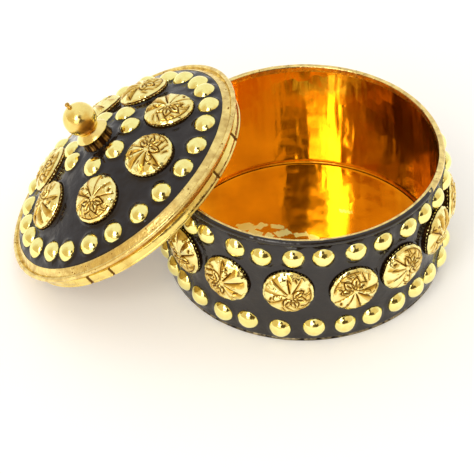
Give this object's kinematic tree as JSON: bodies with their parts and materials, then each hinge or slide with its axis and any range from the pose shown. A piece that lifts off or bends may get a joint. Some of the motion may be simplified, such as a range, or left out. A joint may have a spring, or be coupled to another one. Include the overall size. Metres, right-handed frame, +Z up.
{
  "type": "spice box",
  "caption": "Round brass spice box with a band of black lac, domed studs and pressed medallions; its domed lid with a ball finial leans open against the rim.",
  "frame": {"origin": "centre of the flat underside of the box, on the table", "axes": "+Z up along the box's axis, +X from the leaning lid towards the box"},
  "size_m": [0.2384, 0.16, 0.0955],
  "materials": {
    "pale_brass": "polished",
    "brass": "aged, softly polished",
    "amber_brass": "polished under an amber lacquer",
    "black_lac": "soft gloss lac resin"
  },
  "bodies": {
    "box": {"box_base": "amber_brass", "box_wall": "amber_brass", "box_foot": "brass", "box_rim": "pale_brass", "box_lac": "black_lac", "box_studs_upper": "pale_brass", "box_studs_lower": "pale_brass", "box_medallion_01": "pale_brass", "box_medallion_02": "pale_brass", "box_medallion_03": "pale_brass", "box_medallion_04": "pale_brass", "box_medallion_05": "pale_brass", "box_medallion_06": "pale_brass", "box_medallion_07": "pale_brass", "box_medallion_08": "pale_brass", "box_medallion_09": "pale_brass", "box_medallion_10": "pale_brass", "box_medallion_11": "pale_brass", "box_medallion_12": "pale_brass", "box_medallion_13": "pale_brass", "box_medallion_14": "pale_brass", "box_medallion_15": "pale_brass"},
    "finial_ball": {"finial_ball": "pale_brass"},
    "lid": {"lid_dome": "brass", "lid_edge": "pale_brass", "lid_skirt": "brass", "lid_lac": "black_lac", "lid_studs_outer": "pale_brass", "lid_studs_inner": "pale_brass", "lid_medallion_1": "pale_brass", "lid_medallion_2": "pale_brass", "lid_medallion_3": "pale_brass", "lid_medallion_4": "pale_brass", "lid_medallion_5": "pale_brass", "lid_medallion_6": "pale_brass", "lid_medallion_7": "pale_brass", "finial_cup": "brass", "finial_collar": "pale_brass", "finial_pip": "brass", "finial_stem": "brass", "finial_washer": "brass"}
  },
  "joints": [
    {"name": "lid_carry", "type": "hinge", "parent": "box", "child": "finial_ball", "pos_m": [-0.06138, 0.00185, 0.11151], "axis": [0, 1, 0], "range_deg": [0, 205.23]},
    {"name": "lid_level", "type": "hinge", "parent": "finial_ball", "child": "lid", "pos_m": [-0.11904, 0.00185, 0.08433], "axis": [0, 1, 0], "range_deg": [-169.23, 0]}
  ],
  "couplings": [
    {"joint": "lid_level", "follows": "lid_carry", "ratio": -0.82362}
  ]
}
